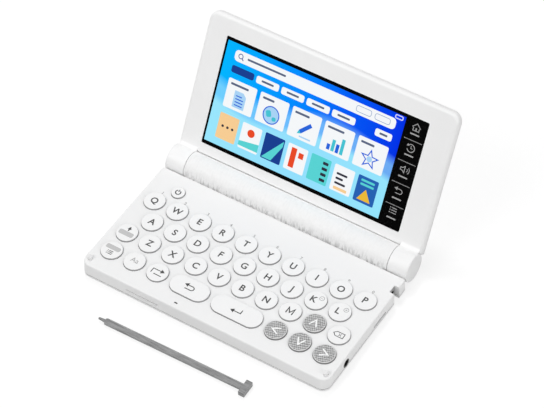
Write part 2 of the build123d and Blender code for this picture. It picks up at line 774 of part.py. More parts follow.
def hinge_end_discs():
    """Flat discs that close the end caps."""
    disc = rod(barrel_radius, cap_end, cap_end + cap_disc_thickness)
    disc = fillet(disc.edges().filter_by(GeomType.CIRCLE).sort_by(Axis.X)[-1], cap_disc_edge_radius)
    disc += rod(barrel_radius - cap_wall - fit_clearance, cap_end - cap_plug_length, cap_end)
    return together(mirrored_pair(disc))


def display_cable():
    """Round cable along the hinge axis, then up through the lid to the display."""
    start_x = barrel_half - sleeve_length
    turn_x = cap_end - cap_web
    panel_x = picture_x + picture_width / 2 + panel_margin
    rise_y = lid_inner_y - 2 * cap_wall
    panel_level = face_z + bezel_plate + cable_radius + fit_clearance / 2
    points = [
        (start_x, hinge_y, hinge_z),
        (turn_x, hinge_y, hinge_z),
        (turn_x, hinge_y, cable_level),
        (turn_x, rise_y, cable_level),
        (turn_x - 3 * cable_radius, rise_y - 5 * cable_radius, panel_level),
        (panel_x + fit_clearance, rise_y - 5 * cable_radius, panel_level),
    ]
    path = FilletPolyline(*points, radius=2 * cable_radius)
    return sweep(Plane(points[0], z_dir=(1, 0, 0)) * Circle(cable_radius), path=path)


def open_lid(shape):
    """Turns a piece of the closed lid about the hinge axis, to the resting angle."""
    hinge = Pos(0, hinge_y, hinge_z)
    return hinge * Rot(-lid_open_angle, 0, 0) * Pos(0, -hinge_y, -hinge_z) * shape


# ---- Stylus, lying in front of the base ----
def stylus():
    """Eight-sided body with a narrow tip and a cross-bar head, resting on the table."""
    section = RegularPolygon(stylus_width / 2, 8, major_radius=False, rotation=360 / 16)
    body = extrude(Plane.YZ.offset(-stylus_length) * section, amount=stylus_length)
    body = chamfer(body.edges().group_by(Axis.X)[0], stylus_shoulder)
    body = fillet(body.edges().filter_by(Axis.X), stylus_edge_radius)
    tip = Pos(-stylus_length - tip_length / 2, 0, 0) * Cone(
        tip_root_radius, tip_end_radius, tip_length, rotation=(0, -90, 0))
    tip = fillet(tip.edges().group_by(Axis.X)[0], tip_end_radius / 2)
    head = Pos(head_length / 2, 0, 0) * Box(head_length, head_width, stylus_width)
    head = fillet(head.edges().filter_by(Axis.X), head_edge_radius)
    head = fillet(head.edges().group_by(Axis.X)[-1], stylus_edge_radius)
    whole = body + tip + head
    place = Pos(stylus_head_x - head_length / 2, front_y - stylus_distance, stylus_width / 2)
    return place * Rot(0, 0, stylus_turn) * whole


def all_pieces():
    """Every piece of the dictionary, by name."""
    pieces = {
        "base_top_case": base_top_case(),
        "base_bottom_case": base_bottom_case(),
        "rubber_feet": rubber_feet(),
        "lid_bumpers": lid_bumpers(),
        "key_mat": key_mat(),
        "main_board": main_board(),
        "speaker_and_microphone": speaker_and_microphone(),
        "audio_jack": audio_jack(),
        "case_screws": case_screws(),
        "hinge_barrel": hinge_barrel(),
        "battery_cover": battery_cover(),
        "aa_cells": aa_cells(),
        "battery_contacts": battery_contacts(),
        "hinge_sleeves": hinge_sleeves(),
        "stylus": stylus(),
    }
    lid = {
        "lid_bezel": lid_bezel(),
        "lid_back_cover": lid_back_cover(),
        "screen_glass": screen_glass(),
        "display_panel": display_panel(),
        "hinge_shafts": hinge_shafts(),
        "hinge_end_discs": hinge_end_discs(),
        "display_cable": display_cable(),
    }
    for name, piece in lid.items():
        pieces[name] = open_lid(piece)
    for name, x, y, diameter, length in key_layout():
        pieces[name] = key(x, y, diameter, length)
    return pieces


os.makedirs("parts", exist_ok=True)
for piece_name, piece_shape in all_pieces().items():
    export_step(piece_shape, f"parts/{piece_name}.step")
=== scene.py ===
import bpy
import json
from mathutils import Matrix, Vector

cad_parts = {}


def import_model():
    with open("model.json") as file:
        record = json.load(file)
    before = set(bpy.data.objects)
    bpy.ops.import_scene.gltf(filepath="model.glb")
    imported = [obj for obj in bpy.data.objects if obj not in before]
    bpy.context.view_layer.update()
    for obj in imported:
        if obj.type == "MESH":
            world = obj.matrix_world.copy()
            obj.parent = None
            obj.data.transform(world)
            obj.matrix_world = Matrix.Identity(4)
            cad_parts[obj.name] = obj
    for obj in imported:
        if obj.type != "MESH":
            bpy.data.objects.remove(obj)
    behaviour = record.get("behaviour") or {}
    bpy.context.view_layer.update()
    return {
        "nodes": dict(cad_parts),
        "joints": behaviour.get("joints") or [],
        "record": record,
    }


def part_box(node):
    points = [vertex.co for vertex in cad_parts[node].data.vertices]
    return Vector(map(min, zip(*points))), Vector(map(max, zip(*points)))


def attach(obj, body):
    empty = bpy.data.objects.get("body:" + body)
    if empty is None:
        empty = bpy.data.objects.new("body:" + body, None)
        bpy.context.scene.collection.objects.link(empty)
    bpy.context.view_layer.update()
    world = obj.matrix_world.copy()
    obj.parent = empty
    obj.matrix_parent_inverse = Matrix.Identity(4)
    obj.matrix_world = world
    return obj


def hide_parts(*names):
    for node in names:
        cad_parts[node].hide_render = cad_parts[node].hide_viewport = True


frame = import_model()

import json
from math import cos, radians, sin

import bmesh
import bpy
from mathutils import Matrix, Vector

# The looks of an electronic dictionary: keys with printed letters, a lit display behind
# glass, moulded plastic, and the floor, lights and camera. Lengths are written in
# millimetres and turned into metres where meshes are made. A box is its lowest and highest
# x, then its lowest and highest y.
MM = 0.001

# ---- Lid, in its own coordinates ----
LID_OPEN = radians(120)
LID_FACE = -2.6              # height of the lid's face
GLASS = (-61.5, 59.5, 13.5, 74.7)
PICTURE = (-60.8, 46.3, 15.2, 72.5)
STRIP_MIDDLE = 53.0          # across, of the touch keys beside the picture
GLASS_FRONT = LID_FACE - 0.1
GLASS_BACK = GLASS_FRONT - 0.85
PAINTED_EDGE = 0.08          # thickness of the black paint on the glass's edge
MASK_LAYER = (GLASS_BACK - 0.07, GLASS_BACK - 0.03)
MASK_INK_LAYER = (GLASS_BACK - 0.03, GLASS_BACK - 0.01)
PICTURE_LAYERS = [(-3.80 + 0.04 * layer, -3.77 + 0.04 * layer) for layer in range(4)]

# ---- Rows of the display's menu, lowest and highest ----
SEARCH_ROW = (63.2, 69.4)
TAB_ROW = (56.6, 60.6)
CARD_ROW = (37.2, 53.4)
TILE_ROW = (19.2, 33.6)

# ---- Base ----
INK_DEPTH = 0.03             # of a legend in the plastic, and how far it stands proud
INK_RISE = 0.012
CROWN = (0.18, 0.10)         # below a key's top: the painted shade of the skirts ends, the top's colour begins
ARROW_PRINT_RADIUS = 5.35
BARREL_SHADE = (4.0, 8.0, 9.5, 12.8)  # heights: the hollows' painted shade grows up to the first two, fades up to the others
SEAM = (2.23, 2.57)          # heights of the groove between the two cases
SEAM_SHADOW_STRIP = (0.1, 0.4)      # nearest and farthest from the cases' sides
SEAM_REAR = 1.5              # left free of the painted shadow strip in front of the base's rear face
JACK_CLEARANCE = 0.4
FRONT_CORNER = 5.0           # radius of the base's front corners
CELL_LENGTH = 50.5           # of a battery cell; the two meet in the middle
NOTCH = (9.0, 14.4)          # along the right side, with some room
MICROPHONE = (-17.0, -51.923, 2.0, 0.8)  # middle and size of its slot in the deck


# ---- Flat shapes ----
def rounded(x0, x1, y0, y1, radius, steps=6):
    """Outline of a rectangle with round corners."""
    points = []
    corners = ((x1 - radius, y1 - radius, 0), (x0 + radius, y1 - radius, 90),
               (x0 + radius, y0 + radius, 180), (x1 - radius, y0 + radius, 270))
    for x, y, start in corners:
        for step in range(steps + 1):
            turn = radians(start + 90 * step / steps)
            points.append((x + radius * cos(turn), y + radius * sin(turn)))
    return points


def inward(box, inset):
    """The box with its four sides moved inwards."""
    x0, x1, y0, y1 = box
    return x0 + inset, x1 - inset, y0 + inset, y1 - inset


def arc(x, y, radius, start, end, steps=24):
    """Points along an arc, in degrees."""
    turns = [radians(start + (end - start) * step / steps) for step in range(steps + 1)]
    return [(x + radius * cos(turn), y + radius * sin(turn)) for turn in turns]


def circle(x, y, radius, steps=32):
    return arc(x, y, radius, 0, 360 - 360 / steps, steps - 1)


def moved(points, x, y, turn=0.0):
    """Points turned in degrees and then moved."""
    c, s = cos(radians(turn)), sin(radians(turn))
    return [(x + c * px - s * py, y + s * px + c * py) for px, py in points]


class Shapes:
    """Collects flat closed solids, in millimetres, into one mesh."""

    def __init__(self):
        self.mesh = bmesh.new()

    def vertices(self, points, height):
        return [self.mesh.verts.new((x * MM, y * MM, height * MM)) for x, y in points]

    def plate(self, outline, layer):
        """A flat piece with the given outline."""
        low = self.vertices(outline, layer[0])
        high = self.vertices(outline, layer[1])
        self.mesh.faces.new(high)
        self.mesh.faces.new(low[::-1])
        for i in range(len(outline)):
            j = (i + 1) % len(outline)
            self.mesh.faces.new((low[i], low[j], high[j], high[i]))
        return self

    def band(self, inner, outer, layer):
        """A flat closed band between two outlines with as many points."""
        rings = [self.vertices(inner, layer[0]), self.vertices(outer, layer[0]),
                 self.vertices(outer, layer[1]), self.vertices(inner, layer[1])]
        for i in range(len(inner)):
            j = (i + 1) % len(inner)
            for a, b in zip(rings, rings[1:] + rings[:1]):
                self.mesh.faces.new((a[i], a[j], b[j], b[i]))
        return self

    def line(self, points, width, layer, closed=False):
        """A line of constant width through points, with square ends."""
        points = [Vector(point) for point in points]
        count = len(points)
        sides = []
        for i, point in enumerate(points):
            before = points[i - 1] if i or closed else None
            after = points[(i + 1) % count] if i < count - 1 or closed else None
            start = (point - before).normalized() if before is not None else None
            end = (after - point).normalized() if after is not None else start
            start = start if start is not None else end
            along = (start + end).normalized()
            across = Vector((-along.y, along.x))
            reach = width / 2 / max(0.35, across.dot(Vector((-start.y, start.x))))
            sides.append((point + across * reach, point - across * reach))
        left = [side[0] for side in sides]
        right = [side[1] for side in sides]
        if closed:
            return self.band(left, right, layer)
        return self.plate([tuple(point) for point in right + left[::-1]], layer)

    def ring(self, x, y, radius, width, layer):
        """A round line of constant width."""
        return self.band(circle(x, y, radius - width / 2), circle(x, y, radius + width / 2), layer)

    def piece(self, name, material, body, slot, place=None):
        """Turns what was collected into one object that rides on a body."""
        bmesh.ops.recalc_face_normals(self.mesh, faces=self.mesh.faces)
        data = bpy.data.meshes.new(name)
        self.mesh.to_mesh(data)
        self.mesh.free()
        return add_piece(name, data, material, body, place)


def add_piece(name, data, material, body, place=None):
    """A mesh as an object with its material, which rides on a body."""
    piece = bpy.data.objects.new(name, data)
    bpy.context.scene.collection.objects.link(piece)
    piece.matrix_world = place or Matrix.Identity(4)
    data.materials.append(material)
    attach(piece, body)
    return piece


# ---- Lettering ----
def text_mesh(text, weight=0.012):
    """The built-in font's letters as a solid one unit deep."""
    curve = bpy.data.curves.new("lettering", "FONT")
    curve.body = text
    curve.extrude = 0.5
    curve.offset = weight
    curve.resolution_u = 6
    holder = bpy.data.objects.new("lettering", curve)
    mesh = bpy.data.meshes.new_from_object(holder)
    bpy.data.objects.remove(holder)
    bpy.data.curves.remove(curve)
    return mesh


def extent(mesh):
    """Lowest and highest x and y of a mesh."""
    xs = [vertex.co.x for vertex in mesh.vertices]
    ys = [vertex.co.y for vertex in mesh.vertices]
    return min(xs), max(xs), min(ys), max(ys)


_, _, CAP_LOW, CAP_HIGH = extent(text_mesh("H"))


def legend(text, x, y, cap_height, layer, weight=0.022):
    """Letters centred on a point, with their capitals at the given height."""
    mesh = text_mesh(text, weight)
    left, right, _, _ = extent(mesh)
    scale = cap_height / (CAP_HIGH - CAP_LOW)
    for vertex in mesh.vertices:
        vertex.co.x = (x + (vertex.co.x - (left + right) / 2) * scale) * MM
        vertex.co.y = (y + (vertex.co.y - (CAP_LOW + CAP_HIGH) / 2) * scale) * MM
        vertex.co.z = layer[1 if vertex.co.z > 0 else 0] * MM
    shape = bmesh.new()
    shape.from_mesh(mesh)
    bmesh.ops.remove_doubles(shape, verts=shape.verts, dist=1e-7)
    shape.to_mesh(mesh)
    shape.free()
    return mesh


def joined(meshes):
    """One mesh from several."""
    whole = bmesh.new()
    for mesh in meshes:
        whole.from_mesh(mesh)
        bpy.data.meshes.remove(mesh)
    data = bpy.data.meshes.new("lettering")
    whole.to_mesh(data)
    whole.free()
    return data


# ---- Materials ----
class Look:
    """A material's node tree, built from the object's own coordinates."""

    def __init__(self, name):
        self.material = bpy.data.materials.new(name)
        self.material.use_nodes = True
        self.nodes = self.material.node_tree.nodes
        self.links = self.material.node_tree.links
        self.shader = self.nodes["Principled BSDF"]
        self.place = self.add("TexCoord").outputs["Object"]

    def add(self, kind, inputs=None, **settings):
        node = self.nodes.new("ShaderNode" + kind)
        for key, value in settings.items():
            setattr(node, key, value)
        for key, value in (inputs or {}).items():
            if isinstance(value, bpy.types.NodeSocket):
                self.links.new(value, node.inputs[key])
            else:
                node.inputs[key].default_value = value
        return node

    def math(self, operation, a, b=0.0):
        return self.add("Math", {0: a, 1: b}, operation=operation).outputs[0]

    def stretched(self, x, y, z):
        """The object's own coordinates, scaled differently along each axis."""
        return self.add("Mapping", {"Vector": self.place, "Scale": (x, y, z)}).outputs["Vector"]

    def noise(self, scale, detail=3.0, place=None):
        place = self.place if place is None else place
        return self.add("TexNoise", {"Vector": place, "Scale": scale, "Detail": detail}).outputs["Fac"]

    def between(self, value, low, high, start=0.3, end=0.7):
        """A number that goes from low to high as the value goes from start to end."""
        inputs = {"Value": value, "From Min": start, "From Max": end, "To Min": low, "To Max": high}
        return self.add("MapRange", inputs).outputs["Result"]

    def ramp(self, value, stops):
        """A colour that goes through the stops, each a value and its colour."""
        node = self.add("ValToRGB", {"Fac": value})
        elements = node.color_ramp.elements
        while len(elements) < len(stops):
            elements.new(0.5)
        for element, (position, colour) in zip(elements, stops):
            element.position = position
            element.color = (*colour, 1)
        return node.outputs["Color"]

    def blend(self, factor, a, b):
        inputs = {"Factor": factor, 6: a, 7: b}
        return self.add("Mix", inputs, data_type="RGBA").outputs[2]

    def bump(self, height, depth, onto=None):
        """Relief of the given depth in millimetres."""
        inputs = {"Height": height, "Distance": depth * MM, "Strength": 1.0}
        if onto is not None:
            inputs["Normal"] = onto
        return self.add("Bump", inputs).outputs["Normal"]

    def set(self, **sockets):
        for key, value in sockets.items():
            socket = self.shader.inputs[key.replace("_", " ")]
            if isinstance(value, bpy.types.NodeSocket):
                self.links.new(value, socket)
            else:
                socket.default_value = value
        return self.material


def grey(level):
    return (level, level, level)


def tinted(colour, share):
    return tuple(channel * share for channel in colour)


def moulded(name, colour, roughness=0.42):
    """Moulded plastic: a fine grain, slight flow marks and uneven gloss."""
    look = Look(name)
    flow = look.noise(22, 4)
    sheen = look.noise(160, 3)
    fine = look.noise(3600, 2)
    hue = look.ramp(flow, [(0.3, tinted(colour, 0.97)), (0.7, colour)])
    return look.set(Base_Color=hue, Roughness=look.between(sheen, roughness - 0.05, roughness + 0.07),
                    Normal=look.bump(fine, 0.006), IOR=1.48)


def key_plastic_with_skirt_shade(name, colour, skirt_shade):
    """Key tops, and the skirts below their crowned edge painted a darker grey as painted shade."""
    look = Look(name)
    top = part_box("key_q")[1].z
    height = look.add("SeparateXYZ", {"Vector": look.place}).outputs["Z"]
    crown = look.between(height, 0.0, 1.0, top - CROWN[0] * MM, top - CROWN[1] * MM)
    flow = look.noise(22, 4)
    face = look.ramp(flow, [(0.3, tinted(colour, 0.985)), (0.7, colour)])
    # the darker grey below the crown is painted shade on the keys' sides
    hue = look.blend(crown, (*skirt_shade, 1), face)
    return look.set(Base_Color=hue, Roughness=look.between(look.noise(160, 3), 0.32, 0.44),
                    Normal=look.bump(look.noise(3600, 2), 0.004), IOR=1.48)


def barrel_plastic_with_hollow_shade(name, colour):
    """Plastic with a relief of short uneven strokes, whose hollows get painted shade that is darker low on
    the barrel.
    """
    look = Look(name)
    strokes = look.noise(1.0, 3, look.stretched(1150, 300, 300))
    ripples = look.noise(1.0, 2, look.stretched(2400, 500, 500))
    fine = look.noise(3600, 2)
    height = look.add("SeparateXYZ", {"Vector": look.place}).outputs["Z"]
    darkening, darkest, fading, faded = (level * MM for level in BARREL_SHADE)
    depth = look.math("MULTIPLY", look.between(height, 1.0, 0.08, fading, faded),
                      look.between(height, 0.15, 1.0, darkening, darkest))
    hollow_shade = look.math("MULTIPLY", look.between(strokes, 1.0, 0.0, 0.42, 0.52), depth)
    # the strokes' hollows darkened as painted shade, most strongly low on the barrel
    hue = look.blend(hollow_shade, (*colour, 1), (*tinted(colour, 0.74), 1))
    relief = look.bump(strokes, 0.32, look.bump(ripples, 0.12, look.bump(fine, 0.006)))
    return look.set(Base_Color=hue, Roughness=look.between(ripples, 0.4, 0.55), Normal=relief, IOR=1.48)


def hatched(name, dark, light):
    """A printed mesh of fine lines that cross each other, uneven like a weave."""
    look = Look(name)
    crossing = []
    for turn, share in ((50, 0.65), (-35, 0.35)):
        turned = look.add("Mapping", {"Vector": look.place, "Rotation": (0, 0, radians(turn))})
        lines = look.add("TexWave", {"Vector": turned.outputs["Vector"], "Scale": 300.0, "Distortion": 2.6,
                                     "Detail": 2.0, "Detail Scale": 2.0})
        crossing.append(look.math("MULTIPLY", lines.outputs["Fac"], share))
    weave = look.noise(1400, 2)
    mesh = look.math("MULTIPLY", look.math("ADD", *crossing), look.between(weave, 0.75, 1.15))
    hue = look.ramp(mesh, [(0.25, dark), (0.75, light)])
    return look.set(Base_Color=hue, Roughness=look.between(weave, 0.38, 0.5))


def printed(name, colour, roughness=0.5, shine=0.5):
    """Printing ink, slightly uneven."""
    look = Look(name)
    cover = look.noise(2200, 3)
    hue = look.ramp(cover, [(0.3, tinted(colour, 1.12)), (0.6, colour)])
    return look.set(Base_Color=hue, Roughness=look.between(cover, roughness - 0.06, roughness + 0.06),
                    Specular_IOR_Level=shine)


def streaked_plastic(name, colour):
    """Glossy moulded plastic with lengthwise flow marks."""
    look = Look(name)
    streaks = look.noise(1.0, 4, look.stretched(110, 900, 900))
    fine = look.noise(3600, 2)
    hue = look.ramp(streaks, [(0.36, tinted(colour, 0.72)), (0.5, colour), (0.64, tinted(colour, 1.22))])
    return look.set(Base_Color=hue, Roughness=look.between(streaks, 0.24, 0.4), IOR=1.5,
                    Normal=look.bump(streaks, 0.02, look.bump(fine, 0.004)))


def rubber(name, colour):
    """Matte rubber or soft cable jacket with a rough skin."""
    look = Look(name)
    skin = look.noise(1500, 4)
    hue = look.ramp(look.noise(60, 3), [(0.3, tinted(colour, 0.88)), (0.7, colour)])
    return look.set(Base_Color=hue, Roughness=look.between(skin, 0.7, 0.88), Normal=look.bump(skin, 0.02))


def brushed(name, colour, roughness=0.32):
    """Bare metal with fine brushing along x."""
    look = Look(name)
    streaks = look.noise(1.0, 3, look.stretched(250, 3200, 3200))
    hue = look.ramp(streaks, [(0.3, tinted(colour, 0.86)), (0.7, colour)])
    return look.set(Base_Color=hue, Metallic=1.0, Normal=look.bump(streaks, 0.008),
                    Roughness=look.between(streaks, roughness - 0.08, roughness + 0.1))


def circuit_board(name):
    """Solder mask over copper tracks."""
    look = Look(name)
    tracks = look.add("TexBrick", {"Vector": look.place, "Scale": 190.0, "Mortar Size": 0.03}).outputs["Fac"]
    pads = look.add("TexVoronoi", {"Vector": look.place, "Scale": 420.0}).outputs["Distance"]
    mask = look.ramp(look.noise(90, 3), [(0.3, (0.006, 0.075, 0.03)), (0.7, (0.01, 0.11, 0.05))])
    copper = look.blend(look.between(pads, 1.0, 0.0, 0.12, 0.16), mask, (0.55, 0.42, 0.16, 1))
    hue = look.blend(tracks, copper, (0.03, 0.2, 0.09, 1))
    return look.set(Base_Color=hue, Roughness=look.between(pads, 0.3, 0.5), Normal=look.bump(tracks, 0.03))


def cell_wrap(name):
    """A battery cell's printed sleeve: grey, with a copper-coloured band at one end of each cell."""
    look = Look(name)
    along = look.add("SeparateXYZ", {"Vector": look.place}).outputs["X"]
    share = look.math("FRACT", look.math("ADD", look.math("DIVIDE", along, CELL_LENGTH * MM), 2.0))
    sleeve, copper = (0.07, 0.075, 0.085), (0.5, 0.24, 0.1)
    hue = look.ramp(share, [(0.0, sleeve), (0.72, sleeve), (0.725, copper), (0.97, copper),
                            (0.975, grey(0.62))])
    scuffs = look.noise(500, 4)
    return look.set(Base_Color=hue, Metallic=0.55, Roughness=look.between(scuffs, 0.25, 0.42),
                    Normal=look.bump(scuffs, 0.01))


def glowing(look, hue):
    """A nearly black ground that gives the hue's light and mirrors nothing."""
    return look.set(Base_Color=(0.002, 0.002, 0.002, 1), Emission_Color=hue, Emission_Strength=1.0,
                    Roughness=0.6, Specular_IOR_Level=0.0)


def lit(name, colour):
    """A part of the picture: it gives light, and has the display's fine grain."""
    look = Look(name)
    pixels = look.noise(5200, 1)
    hue = look.ramp(pixels, [(0.3, tinted(colour, 0.96)), (0.7, colour)])
    return glowing(look, hue)


def picture_ground(name):
    """The picture's ground: light cyan below, azure on the left and deep blue at the top right."""
    look = Look(name)
    axes = look.add("SeparateXYZ", {"Vector": look.place}).outputs
    across = look.between(axes["X"], 0.0, 1.0, PICTURE[0] * MM, PICTURE[1] * MM)
    up = look.between(axes["Y"], 0.0, 1.0, PICTURE[2] * MM, PICTURE[3] * MM)
    swell = look.math("MULTIPLY", look.math("SINE", look.math("MULTIPLY", across, 7.0)), 0.07)
    level = look.math("ADD", up, swell)
    upper = look.ramp(across, [(0.0, (0.0, 0.46, 1.0)), (0.45, (0.0, 0.24, 1.0)),
                               (0.7, (0.0, 0.1, 0.92)), (1.0, (0.0, 0.03, 0.80))])
    lower = look.ramp(across, [(0.0, (0.32, 0.79, 0.98)), (0.5, (0.29, 0.74, 0.98)),
                               (1.0, (0.3, 0.78, 0.98))])
    middle = look.blend(0.5, upper, lower)
    hue = look.blend(look.between(level, 0.0, 1.0, 0.40, 0.47), lower, middle)
    hue = look.blend(look.between(level, 0.0, 1.0, 0.56, 0.66), hue, upper)
    return glowing(look, hue)


def clear_glass(name):
    """Cover glass: clear, with a reflection that only grazing views show."""
    look = Look(name)
    smears = look.noise(45, 4)
    facing = look.add("Fresnel", {"IOR": 1.45}).outputs["Fac"]
    gloss = look.add("BsdfGlossy", {"Roughness": look.between(smears, 0.02, 0.06)})
    clear = look.add("BsdfTransparent")
    mixed = look.add("MixShader", {0: look.between(facing, 0.0, 0.4, 0.06, 0.8), 1: clear.outputs[0],
                                   2: gloss.outputs[0]})
    look.links.new(mixed.outputs[0], look.nodes["Material Output"].inputs["Surface"])
    return look.material


WHITE = grey(0.87)
CASE = moulded("case_plastic", WHITE)
# The lid's plastic is the case's white painted a little lighter, as painted light on the lid.
LID_CASE_PAINTED_LIGHTER = moulded("lid_plastic_painted_lighter", grey(0.9))
# key tops white; their skirts a darker grey as painted shade
KEY = key_plastic_with_skirt_shade("key_plastic_with_skirt_shade", grey(0.88), (0.34, 0.34, 0.345))
BLACK_INK = printed("black_ink", grey(0.05))
GREY_INK = printed("grey_ink", grey(0.36))
PALE_INK = printed("pale_ink", grey(0.50))
WHITE_INK = printed("white_ink", grey(0.88))
ARROW_PRINT = hatched("arrow_key_print", grey(0.17), grey(0.66))
SLOT_LOOKS = {
    "case": CASE,
    "key": KEY,
    # arrow keys: grey tops, with skirts near black as painted shade
    "arrow_key": key_plastic_with_skirt_shade("arrow_key_plastic_with_skirt_shade", grey(0.66), grey(0.20)),
    "disc": moulded("end_disc_plastic", grey(0.87), 0.5),
    "rubber": rubber("foot_rubber", grey(0.05)),
    "rubber_pad": rubber("bumper_rubber", grey(0.86)),
    # the key mat is dark rubber, made darker still as painted shade in the gaps round the keys
    "mat": rubber("key_mat_rubber_and_gap_shade", grey(0.14)),
    "board": circuit_board("circuit_board"),
    # dark plastic of real parts, also used for the painted shade pieces in the base's hollows
    "dark_part": moulded("dark_plastic_and_painted_shade", grey(0.02), 0.4),
    "steel": brushed("brushed_steel", (0.62, 0.62, 0.63)),
    "spring_steel": brushed("nickel_plate", (0.72, 0.71, 0.69), 0.2),
    "cell": cell_wrap("cell_sleeve"),
    "display": moulded("display_frame", grey(0.03), 0.3),
    "screen_glass": clear_glass("cover_glass"),
    "stylus_plastic": streaked_plastic("stylus_plastic", (0.245, 0.246, 0.248)),
    "cable": rubber("cable_jacket", grey(0.03)),
}
for part in frame["record"]["subparts"]:
    for slot in frame["nodes"][part["node"]].material_slots:
        slot.material = SLOT_LOOKS[part["material_slot"]]
frame["nodes"]["hinge_barrel"].material_slots[0].material = barrel_plastic_with_hollow_shade("barrel_plastic_with_hollow_shade", WHITE)
for part in ("lid_bezel", "lid_back_cover"):
    frame["nodes"][part].material_slots[0].material = LID_CASE_PAINTED_LIGHTER


# ---- Keys ----
def key_top(key):
    """Middle of a key's top face, and the layer for its printing, in millimetres."""
    low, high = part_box(key)
    top = high.z / MM
    return (low.x + high.x) / 2 / MM, (low.y + high.y) / 2 / MM, (top - INK_DEPTH, top + INK_RISE)


def print_letters():
    """A letter on each letter key; two share their key with a small sign, and M is a drawn line."""
    for letter in "qwertyuiopasdfghjklzxcvbnm":
        key = "key_" + letter
        x, y, layer = key_top(key)
        sign = {"k": "minus", "l": "plus"}.get(letter)
        shift = -1.1 if sign else 0.0
        if letter == "m":
            half = 1.7
            strokes = [(-half, -1.85), (-half, 1.85), (0, -0.9), (half, 1.85), (half, -1.85)]
            Shapes().line(moved(strokes, x, y), 0.65, layer).piece("letter_m", BLACK_INK, key, "dark_part")
            continue
        mesh = legend(letter.upper(), x + shift, y, 3.7, layer)
        add_piece("letter_" + letter, mesh, BLACK_INK, key)
        if sign:
            ring_x, ring_y = x + 2.3, y + 2.3
            mark = Shapes().ring(ring_x, ring_y, 1.25, 0.3, layer)
            bars = [(-0.7, 0.7, -0.13, 0.13)]
            if sign == "plus":
                bars += [(-0.13, 0.13, -0.7, -0.13), (-0.13, 0.13, 0.13, 0.7)]
            for bar in bars:
                mark.plate(moved(rounded(*bar, 0.05, 1), ring_x, ring_y), layer)
            mark.piece("sign_" + sign, GREY_INK, key, "dark_part")


def print_digits():
    """Small digits on the deck behind the top row, 1 to 9 and then 0."""
    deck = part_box("base_top_case")[1].z / MM
    layer = (deck - INK_DEPTH, deck + INK_RISE)
    digits = []
    for number, letter in zip("1234567890", "qwertyuiop"):
        x, y, _ = key_top("key_" + letter)
        digits.append(legend(number, x + 0.3, y + 7.1, 1.8, layer, 0.02))
    add_piece("deck_digits", joined(digits), GREY_INK, "base")


def arrow_head(x, y, size, turn):
    """A small solid triangle that points along the turn."""
    return moved([(size * 0.62, 0), (-size * 0.4, size * 0.6), (-size * 0.4, -size * 0.6)], x, y, turn)


def print_signs():
    """Plain signs on the function keys."""
    x, y, layer = key_top("key_shift")
    band = Shapes().plate(rounded(x - 4.3, x + 4.3, y - 2.3, y + 0.6, 0.9), layer)
    band.piece("shift_band", PALE_INK, "key_shift", "dark_part")
    mark = Shapes().plate(arrow_head(x, y + 2.9, 1.9, 90), layer)
    mark.plate(rounded(x - 0.4, x + 0.4, y + 1.1, y + 2.2, 0.1, 1), layer)
    mark.piece("shift_arrow", BLACK_INK, "key_shift", "dark_part")

    x, y, layer = key_top("key_list")
    band = Shapes().plate(rounded(x - 4.3, x + 4.3, y + 0.2, y + 2.9, 0.9), layer)
    band.piece("list_band", PALE_INK, "key_list", "dark_part")
    mark = Shapes()
    for row in range(3):
        level = y - 0.9 - 0.95 * row
        mark.plate(rounded(x - 0.8, x + 1.6, level - 0.22, level + 0.22, 0.1, 2), layer)
        mark.plate(circle(x - 1.5, level, 0.28, 12), layer)
    mark.piece("list_lines", BLACK_INK, "key_list", "dark_part")

    x, y, layer = key_top("key_size")
    add_piece("size_letters", legend("Aa", x, y + 0.4, 3.0, layer, 0.005), GREY_INK, "key_size")

    x, y, layer = key_top("key_jump")
    mark = Shapes().line([(x - 3.2, y - 1.6), (x - 3.2, y + 1.2), (x + 1.4, y + 1.2)], 0.5, layer)
    mark.plate(arrow_head(x + 2.3, y + 1.2, 2.2, 0), layer)
    mark.line([(x - 1.4, y - 1.7), (x + 3.2, y - 1.7)], 0.5, layer)
    mark.piece("jump_arrow", BLACK_INK, "key_jump", "dark_part")

    x, y, layer = key_top("key_back")
    bend = arc(x + 1.3, y - 0.05, 1.25, 90, -90, 12)
    mark = Shapes().line([(x - 1.7, y + 1.2)] + bend + [(x - 2.3, y - 1.3)], 0.55, layer)
    mark.plate(arrow_head(x - 2.2, y + 1.2, 2.2, 180), layer)
    mark.piece("back_arrow", BLACK_INK, "key_back", "dark_part")

    x, y, layer = key_top("key_enter")
    mark = Shapes().line([(x + 2.6, y + 1.6), (x + 2.6, y - 0.7), (x - 1.7, y - 0.7)], 0.55, layer)
    mark.plate(arrow_head(x - 2.2, y - 0.7, 2.2, 180), layer)
    mark.piece("enter_arrow", BLACK_INK, "key_enter", "dark_part")

    x, y, layer = key_top("key_delete")
    tag = [(x - 3.0, y), (x - 1.5, y + 1.4), (x + 2.8, y + 1.4), (x + 2.8, y - 1.4), (x - 1.5, y - 1.4)]
    mark = Shapes().line(tag, 0.42, layer, closed=True)
    cross = [(0.2, 0), (0.85, 0.65), (0.65, 0.85), (0, 0.2), (-0.65, 0.85), (-0.85, 0.65), (-0.2, 0),
             (-0.85, -0.65), (-0.65, -0.85), (0, -0.2), (0.65, -0.85), (0.85, -0.65)]
    mark.plate(moved(cross, x + 0.6, y), layer)
    mark.piece("delete_tag", BLACK_INK, "key_delete", "dark_part")

    x, y, layer = key_top("key_power")
    mark = Shapes().line(arc(x, y, 1.4, 125, 415, 28), 0.62, layer)
    mark.line([(x, y + 0.35), (x, y + 1.95)], 0.55, layer)
    mark.piece("power_sign", BLACK_INK, "key_power", "dark_part")

    for name, turn in (("right", 0), ("up", 90), ("left", 180), ("down", 270)):
        key = "key_" + name
        x, y, layer = key_top(key)
        mesh_print = Shapes().plate(circle(x, y, ARROW_PRINT_RADIUS, 64), layer)
        mesh_print.piece("mesh_print_" + name, ARROW_PRINT, key, "arrow_key")
        chevron = moved([(-2.0, 2.05), (2.0, 0), (-2.0, -2.05)], x, y, turn)
        above = (layer[1], layer[1] + INK_RISE)
        Shapes().line(chevron, 0.75, above).piece("chevron_" + name, WHITE_INK, key, "key")


print_letters()
print_digits()
print_signs()
